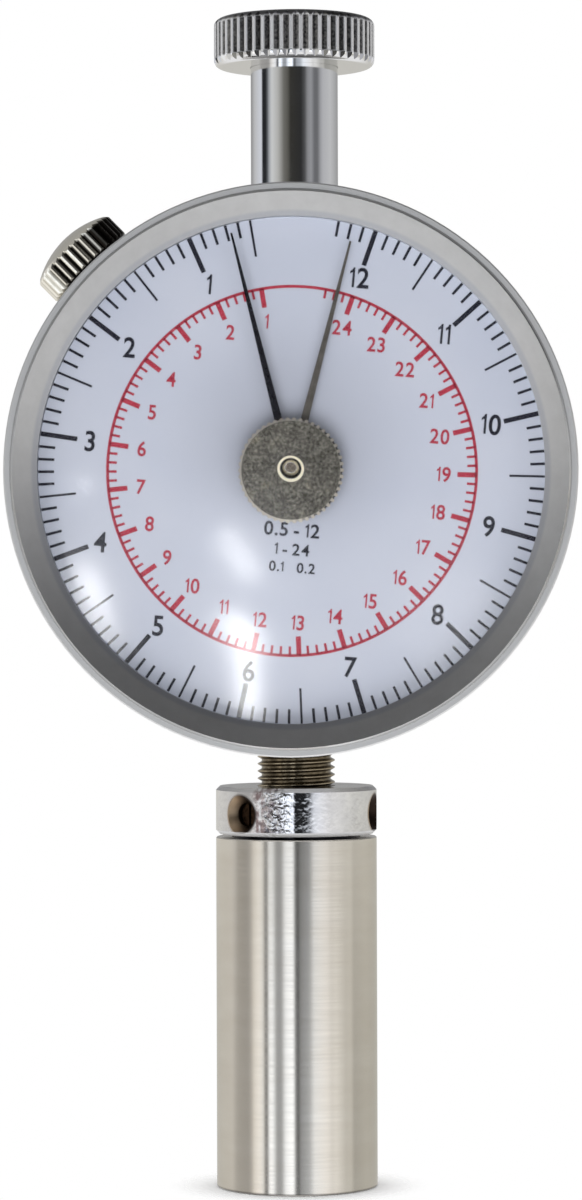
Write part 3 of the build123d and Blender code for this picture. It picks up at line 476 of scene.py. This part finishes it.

# End cap: ribbed knob screwed on the top of the tube; turned with round edges, ribbed by a straight
# roll, chromed. Its grooves and its rounded top edge are painted dark as shade.
knob_base, knob_top = 115.5 * mm, 120.5 * mm
knob_groove, knob_crest = 8.02 * mm, 8.30 * mm
knob_chrome = start_finish("knob_chrome", (0.66, 0.66, 0.67), 1, 0.10)
# Painted shade: the grooves are darkened.
groove = ramp(off_axis(knob_groove, knob_crest), [(0.0, 1.0), (0.70, 0.95), (0.93, 0.0)])
ribbed = ramp(along("Z", knob_base, knob_top), [(0.07, 0.0), (0.10, 1.0), (0.95, 1.0), (0.97, 0.0)])
groove_shade_mask = product(groove, ribbed)
groove_shade_tone = ramp(grain(3800), [(0.35, (0.05, 0.05, 0.053)), (0.65, (0.24, 0.235, 0.23))])
# Painted shade: the rounded top edge is darkened.
shaded_top_edge = product(along("Z", 119.85 * mm, 120.15 * mm), off_axis(7.40 * mm, 7.60 * mm))
plating_and_top_shade = blended(shaded_top_edge, (0.97, 0.97, 0.98), (0.12, 0.12, 0.125))
paint_with(blended(groove_shade_mask, plating_and_top_shade, groove_shade_tone))
rubbed = ramp(grain(2200), [(0.35, 0.08), (0.65, 0.15)])
rubbed = blended(ribbed, rubbed, (0.55, 0.55, 0.55))
roughen_with(blended(groove_shade_mask, rubbed, (0.28, 0.28, 0.28)))
relief(grain(3500), 0.004 * mm, 0.5)
dress(knob_chrome, "end_cap")

# Reset crown: small ribbed crown of pale nickel, pushed on the reset shaft where it leaves the case.
# Its grooves are painted dark as shade and lighter at one end as painted light, and one side of it
# carries a painted dark reflection.
crown_lean = math.radians(44.5)
crown_centre = Matrix.Rotation(crown_lean, 3, "Y") @ Vector((0, -4.78 * mm, 73.5 * mm))
crown_groove, crown_crest = 4.67 * mm, 4.95 * mm
crown_base, crown_top = 29.3 * mm, 32.3 * mm
crown_nickel = start_finish("crown_nickel", (0.93, 0.89, 0.79), 1, 0.18)
crown_places = own_axes((0, crown_lean, 0), -crown_centre)
groove = off_axis(crown_groove, crown_crest, crown_places)
groove = ramp(groove, [(0.0, 1.0), (0.40, 0.88), (0.72, 0.0)])
ribbed = along("Z", crown_base, crown_top, crown_places)
ribbed = ramp(ribbed, [(0.0, 1.0), (0.93, 1.0), (0.99, 0.0)])
side = along("X", -crown_crest, crown_crest, crown_places)
front_half = along("Y", 0.5 * mm, -0.5 * mm, crown_places)
# Painted reflection: one side of the crown's front is darkened.
shaded_side = product(ramp(side, [(0.76, 0.0), (0.84, 1.0)]), front_half)
# Painted shade in the grooves, lighter at one end as painted light.
groove_shade_and_light = ramp(side, [(0.03, (0.60, 0.56, 0.46)), (0.12, (0.012, 0.009, 0.007))])
nickel = blended(product(shaded_side, ribbed), (0.93, 0.89, 0.79), (0.045, 0.042, 0.036))
paint_with(blended(product(groove, ribbed), nickel, groove_shade_and_light))
roughen_with(ramp(grain(1800), [(0.35, 0.14), (0.65, 0.24)]))
dress(crown_nickel, "reset_crown")

# Dial plate: thin aluminium disc sprayed a pale lavender grey, held in the bezel behind the spacer ring.
# A darker area round the hub stands for the soft shade of the boss and needles.
dial_axis = Vector((0, 0, 73.5 * mm))
dial_face = -9.4 * mm
dial_paint = start_finish("dial_paint", (0.48, 0.505, 0.59), 0, 0.42)
shader.inputs["Specular IOR Level"].default_value = 0.3
paint = ramp(grain(90, detail=2), [(0.30, (0.448, 0.477, 0.564)), (0.70, (0.492, 0.516, 0.593))])
shade_middle = (0, dial_axis.z + 3 * mm, 0)
shaded = off_axis(4 * mm, 15 * mm, own_axes((math.pi / 2, 0, 0), shade_middle))
paint_with(blended(shaded, (0.385, 0.405, 0.475), paint))
relief(grain(9000), 0.003 * mm, 0.4)
dress(dial_paint, "dial_plate")

# Black scale: tick marks, numerals and range numbers in black ink, screen printed on the dial paint.
# The scale runs against the clock from 0.5 to a little past 12, one tenth every 2.88 degrees.
ink_height = 0.02 * mm
unit_angle = 28.8
first_reading, first_angle = 0.5, 9.3
tick_outer, long_inner, short_inner = 25.55 * mm, 21.9 * mm, 24.0 * mm
whole_width, half_width, tenth_width = 0.48 * mm, 0.23 * mm, 0.27 * mm
black_radius, black_tall = 20.6 * mm, 2.0 * mm
digit_rise = 0.70
letter_gap, word_gap = 0.14, 0.30
dial_tilt = math.radians(-5)


def scale_angle(reading):
    """Angle of a reading of the black scale, against the clock from the top."""
    return math.radians(first_angle + (reading - first_reading) * unit_angle)


def dial_point(angle, radius, height):
    """Point on the dial, from its angle, its radius and its height over the paint."""
    across, up = -radius * math.sin(angle), radius * math.cos(angle)
    return Vector((across, dial_face - height, dial_axis.z + up))


def tick(shape, angle, inner, outer, width):
    """One printed bar across the scale."""
    corners = []
    for height in (0, ink_height):
        for radius, side in ((inner, -1), (inner, 1), (outer, 1), (outer, -1)):
            across = Vector((math.cos(angle), 0, math.sin(angle))) * side * width / 2
            corners.append(shape.verts.new(dial_point(angle, radius, height) + across))
    for face in ((0, 1, 2, 3), (7, 6, 5, 4), (0, 4, 5, 1), (1, 5, 6, 2), (2, 6, 7, 3), (3, 7, 4, 0)):
        shape.faces.new([corners[place] for place in face])


def drawn_one():
    """A figure one with a slanted flag, as a mesh."""
    edge = [(0.12, 0), (0.25, 0), (0.25, 1), (0.15, 1), (0.10, 0.90), (-0.03, 0.80), (-0.03, 0.67),
            (0.12, 0.76)]
    stroke = bmesh.new()
    rows = [[stroke.verts.new((x, y, z)) for x, y in edge] for z in (-0.5, 0.5)]
    stroke.faces.new(rows[1])
    stroke.faces.new(rows[0][::-1])
    for place in range(len(edge)):
        after = (place + 1) % len(edge)
        stroke.faces.new((rows[0][place], rows[0][after], rows[1][after], rows[1][place]))
    flat = bpy.data.meshes.new("stroke")
    stroke.to_mesh(flat)
    stroke.free()
    return flat


def set_type(character, bold):
    """One character of plain type, as a mesh."""
    font = bpy.data.curves.new("number", "FONT")
    font.body = character
    font.size = 1 / digit_rise
    font.offset = bold / digit_rise
    font.extrude = 0.5
    carrier = bpy.data.objects.new("number", font)
    scene.collection.objects.link(carrier)
    ready = carrier.evaluated_get(bpy.context.evaluated_depsgraph_get())
    flat = bpy.data.meshes.new_from_object(ready)
    bpy.data.objects.remove(carrier)
    bpy.data.curves.remove(font)
    return flat


def letter(character, bold):
    """Flat print of one character as a mesh, and its width; its digits are one unit tall."""
    flat = drawn_one() if character == "1" else set_type(character, bold)
    left = min(v.co.x for v in flat.vertices)
    for v in flat.vertices:
        v.co.x -= left
    return flat, max(v.co.x for v in flat.vertices)


def numeral(shape, text, angle, radius, tall, squeeze=0.9, bold=0.018):
    """One printed number, level with the dial's own slight turn."""
    prints, width = [], 0
    for character in text:
        if character == " ":
            width += word_gap
        else:
            flat, wide = letter(character, bold)
            prints.append((flat, width))
            width += wide + letter_gap
    right = Vector((math.cos(dial_tilt), 0, math.sin(dial_tilt)))
    up = Vector((-math.sin(dial_tilt), 0, math.cos(dial_tilt)))
    for flat, left in prints:
        for v in flat.vertices:
            middle = dial_point(angle, radius, (v.co.z + 0.5) * ink_height)
            across = (v.co.x + left - (width - letter_gap) / 2) * tall * squeeze
            v.co = middle + right * across + up * (v.co.y - 0.5) * tall
        shape.from_mesh(flat)
        bpy.data.meshes.remove(flat)


def printed(name, shape, ink):
    """Turn printed shapes into a piece that turns with the dial."""
    bmesh.ops.recalc_face_normals(shape, faces=shape.faces)
    mesh = bpy.data.meshes.new(name)
    shape.to_mesh(mesh)
    shape.free()
    mesh.materials.append(ink)
    piece = bpy.data.objects.new(name, mesh)
    scene.collection.objects.link(piece)
    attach(piece, "bezel_group")


black_ink = start_finish("black_ink", (0.013, 0.013, 0.022), 0, 0.45)
shader.inputs["Specular IOR Level"].default_value = 0.2
paint_with(ramp(grain(4000), [(0.30, (0.005, 0.005, 0.011)), (0.75, (0.014, 0.014, 0.024))]))
black_ticks = bmesh.new()
for tenth in range(5, 124):
    angle = scale_angle(tenth / 10)
    if tenth % 10 == 0:
        tick(black_ticks, angle, long_inner, tick_outer, whole_width)
    elif tenth % 5 == 0:
        tick(black_ticks, angle, long_inner, tick_outer, half_width)
    else:
        tick(black_ticks, angle, short_inner, tick_outer, tenth_width)
printed("black_ticks", black_ticks, black_ink)
black_numerals = bmesh.new()
for number in range(1, 13):
    numeral(black_numerals, str(number), scale_angle(number), black_radius, black_tall)
printed("black_numerals", black_numerals, black_ink)
range_lines = bmesh.new()
for text, drop, tall in (("0.5 - 12", 5.9, 1.35), ("1 - 24", 7.9, 1.15), ("0.1    0.2", 9.7, 1.0)):
    numeral(range_lines, text, math.pi, drop * mm, tall * mm, 1.0)
printed("range_lines", range_lines, black_ink)

# Red scale: ring, tick marks and numerals from 1 to 24, screen printed in red ink inside the black scale.
# Two of its units go to one of the black ones.
red_ring, ring_half, ring_steps = 18.6 * mm, 0.15 * mm, 240
unit_long, unit_width = 1.92 * mm, 0.50 * mm
fifth_long, fifth_width = 0.92 * mm, 0.25 * mm
red_radius, red_tall = 15.3 * mm, 1.45 * mm
red_ink = start_finish("red_ink", (0.32, 0.014, 0.036), 0, 0.45)
shader.inputs["Specular IOR Level"].default_value = 0.2
paint_with(ramp(grain(3000), [(0.30, (0.31, 0.022, 0.042)), (0.75, (0.42, 0.042, 0.070))]))
red_ticks = bmesh.new()
for fifth in range(0, 119):
    angle = scale_angle(first_reading + fifth / 10)
    if fifth % 5 == 0:
        tick(red_ticks, angle, red_ring - unit_long, red_ring, unit_width)
    else:
        tick(red_ticks, angle, red_ring - fifth_long, red_ring, fifth_width)
loops = []
for side, height in ((-1, 0), (1, 0), (1, ink_height), (-1, ink_height)):
    radius = red_ring + side * ring_half
    loops.append([red_ticks.verts.new(dial_point(math.tau * step / ring_steps, radius, height))
                  for step in range(ring_steps)])
for first, second in zip(loops, loops[1:] + loops[:1]):
    for step in range(ring_steps):
        after = (step + 1) % ring_steps
        red_ticks.faces.new((first[step], first[after], second[after], second[step]))
printed("red_ticks", red_ticks, red_ink)
red_numerals = bmesh.new()
for number in range(1, 25):
    numeral(red_numerals, str(number), scale_angle(number / 2), red_radius, red_tall)
printed("red_numerals", red_numerals, red_ink)

# Spacer ring: thin bluish grey ring that keeps the crystal off the dial, clamped between them in the
# bezel. Its edge shows inside the bezel's lip.
spacer_grey = start_finish("spacer_grey", (0.50, 0.52, 0.55), 1, 0.35)
roughen_with(ramp(grain(1200), [(0.35, 0.30), (0.65, 0.42)]))
dress(spacer_grey, "spacer_ring")

# Needles: thin stamped steel blades under the boss, one on the arbor and one on the sleeve round it.
# The live one is lacquered black, the holding one is a worn grey.
needle_black = start_finish("needle_black", (0.004, 0.004, 0.007), 0, 0.30)
shader.inputs["Specular IOR Level"].default_value = 0.2
roughen_with(ramp(grain(2500), [(0.35, 0.25), (0.65, 0.40)]))
dress(needle_black, "live_pointer")
needle_grey = start_finish("needle_grey", (0.13, 0.12, 0.105), 0.4, 0.40)
paint_with(ramp(grain(1600), [(0.30, (0.055, 0.049, 0.042)), (0.70, (0.10, 0.091, 0.081))]))
dress(needle_grey, "peak_pointer")

# Pointer boss and its ring: a toothed disc of dull mottled zinc over the needles, with a bright brass
# ring riveted at its middle round the arbor's end. The gaps between its teeth on the right and the hollow
# inside the ring are painted dark as shade.
boss_teeth = 50
tooth_root, tooth_crest = 4.9 * mm, 5.3 * mm
boss_zinc = start_finish("boss_zinc", (0.22, 0.21, 0.18), 0.7, 0.45)


def dial_places():
    """Places on a piece round the dial's axis, turned so that this axis stands upright."""
    return own_axes((math.pi / 2, 0, 0), (0, dial_axis.z, 0))


mottle = ramp(grain(3400, detail=8), [(0.30, (0.045, 0.042, 0.035)), (0.50, (0.12, 0.113, 0.097)),
                                      (0.72, (0.27, 0.255, 0.22))])
patches = ramp(grain(620, detail=2), [(0.35, (0.72, 0.72, 0.72)), (0.62, (1.0, 1.0, 1.0)),
                                      (0.72, (1.45, 1.40, 1.30))])
spotted = node("Mix", data_type="RGBA", blend_type="MULTIPLY", i0=1)
links.new(mottle, spotted.inputs[6])
links.new(patches, spotted.inputs[7])
tooth_edge = ramp(off_axis(4.90 * mm, 5.02 * mm, dial_places()), [(0.2, 0.0), (0.8, 1.0)])
tone = blended(tooth_edge, spotted.outputs[2], (0.60, 0.56, 0.48))
spot = node("SeparateXYZ")
links.new(dial_places(), spot.inputs[0])
around = node("Math", operation="ARCTAN2")
links.new(spot.outputs[1], around.inputs[0])
links.new(spot.outputs[0], around.inputs[1])
count = node("Math", operation="MULTIPLY", i1=boss_teeth)
links.new(around.outputs[0], count.inputs[0])
tooth = node("Math", operation="COSINE")
links.new(count.outputs[0], tooth.inputs[0])
# Painted shade: the gaps between the teeth on the right side are darkened.
gap_shade = off_axis(tooth_root, tooth_crest, dial_places())
gap_shade = ramp(gap_shade, [(0.05, 0.0), (0.20, 1.0), (0.75, 1.0), (0.95, 0.4)])
right_side = along("X", -1.5 * mm, 4 * mm)
gap_shade = product(product(gap_shade, spread(tooth.outputs[0], 0.2, -0.4)), right_side)
tone = blended(gap_shade, tone, (0.02, 0.018, 0.016))
# Painted shade: the hollow inside the brass ring is near black.
recess_shade = off_axis(1.04 * mm, 1.12 * mm, dial_places())
paint_with(blended(recess_shade, (0.006, 0.005, 0.004), tone))
roughen_with(blended(tooth_edge, (0.45, 0.45, 0.45), (0.28, 0.28, 0.28)))
relief(grain(4200, detail=4), 0.015 * mm)
dress(boss_zinc, "pointer_boss")
ring_brass = start_finish("ring_brass", (0.92, 0.85, 0.66), 1, 0.36)
roughen_with(ramp(grain(2600), [(0.35, 0.32), (0.65, 0.44)]))
dress(ring_brass, "boss_ring")
arbor_end = start_finish("arbor_end", (0.60, 0.58, 0.54), 1, 0.20)
worn_end = off_axis(0.50 * mm, 0.66 * mm, dial_places())
paint_with(blended(worn_end, (0.14, 0.115, 0.09), (0.66, 0.63, 0.57)))
roughen_with(ramp(grain(2500), [(0.35, 0.16), (0.65, 0.30)]))
dress(arbor_end, "centre_arbor")

# Bezel: turned from aluminium and satin finished, with a raised crest and a cone that falls to the
# crystal. It snaps on the case, and a small smooth step runs between its cone and its rim.
satin_bezel = start_finish("satin_bezel", (0.62, 0.62, 0.62), 1, 0.47)
skin = ramp(grain(500), [(0.30, (0.575, 0.575, 0.575)), (0.70, (0.615, 0.615, 0.615))])
mouth = ramp(off_axis(25.6 * mm, 26.4 * mm, dial_places()), [(0.3, 0.0), (0.8, 1.0)])
ledge = ramp(off_axis(28.0 * mm, 28.3 * mm, dial_places()), [(0.4, 0.0), (0.7, 1.0)])
step = off_axis(27.76 * mm, 28.26 * mm, dial_places())
step = ramp(step, [(0.15, 0.0), (0.25, 1.0), (0.75, 1.0), (0.85, 0.0)])
skin = blended(mouth, (0.50, 0.51, 0.54), skin)
paint_with(blended(ledge, skin, (0.86, 0.86, 0.86)))
rubbed = ramp(grain(2600), [(0.30, 0.44), (0.70, 0.51)])
rubbed = blended(step, rubbed, (0.16, 0.16, 0.16))
roughen_with(blended(ledge, rubbed, (0.68, 0.68, 0.68)))
relief(grain(7000), 0.003 * mm, 0.6)
dress(satin_bezel, "bezel")

# Crystal: one domed pane of clear acrylic, moulded, and pressed in under the bezel's lip.
# It throws no shadow here, so that the dial under it stays evenly lit.
clear_acrylic = start_finish("clear_acrylic", (1, 1, 1), 0, 0.13)
shader.inputs["Transmission Weight"].default_value = 1
shader.inputs["IOR"].default_value = 1.2
roughen_with(ramp(grain(700), [(0.35, 0.12), (0.65, 0.14)]))
dress(clear_acrylic, "crystal")
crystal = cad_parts["crystal"]
crystal.visible_shadow = False
crystal.visible_diffuse = False

# Streaks on the crystal: slim tube lamps and a small window low on the left, and a wide dim window low
# on the right, all soft at their edges, that only the crystal's dome shows. A row is a name, the bearing
# and height of both ends in degrees, the width in degrees and the watts.
streaks = (("window_spot", (-36.0, 1.2), (-35.4, -2.2), 3.4, 0.13),
           ("left_tube", (-36.8, -9.6), (-34.2, -31.0), 7.0, 2.40),
           ("near_tube_top", (-13.8, -6.5), (-6.9, -17.0), 5.2, 0.72),
           ("near_tube_knee", (-14.6, -20.5), (-6.4, -28.0), 6.2, 1.05),
           ("near_tube", (-10.2, -23.0), (-10.7, -48.0), 5.0, 2.20),
           ("right_window", (28.0, -8.0), (28.0, -52.0), 34.0, 3.00))
streak_reach = 0.5
dome_middle = dial_axis + Vector((0, -14 * mm, 0))
streak_taker = bpy.data.collections.new("streak_taker")
streak_taker.objects.link(crystal)


def outward(bearing, height):
    """Direction away from the dial, from its bearing to the right and its height in degrees."""
    side, up = math.radians(bearing), math.radians(height)
    return Vector((math.sin(side) * math.cos(up), -math.cos(side) * math.cos(up), math.sin(up)))


for name, first, last, wide, watts in streaks:
    top, low = outward(*first), outward(*last)
    away = (top + low).normalized()
    tube_lamp = lamp(name, dome_middle + streak_reach * away, dome_middle,
                     streak_reach * math.radians(wide), streak_reach * (top - low).length, watts)
    across = (top - low).cross(away).normalized()
    stance = Matrix((across, away.cross(across), away)).transposed()
    tube_lamp.rotation_quaternion = stance.to_quaternion()
    tube_lamp.visible_glossy = True
    tube_lamp.light_linking.receiver_collection = streak_taker
    tube_lamp.data.use_nodes = True
    nodes, links = tube_lamp.data.node_tree.nodes, tube_lamp.data.node_tree.links
    place = node("SeparateXYZ")
    links.new(node("NewGeometry").outputs["Parametric"], place.inputs[0])
    sides = ramp(place.outputs[0], [(0.0, 0.0), (0.5, 1.0), (1.0, 0.0)], "EASE")
    ends = ramp(place.outputs[1], [(0.0, 0.0), (0.3, 1.0), (0.7, 1.0), (1.0, 0.0)], "EASE")
    links.new(product(sides, ends), nodes["Emission"].inputs["Strength"])
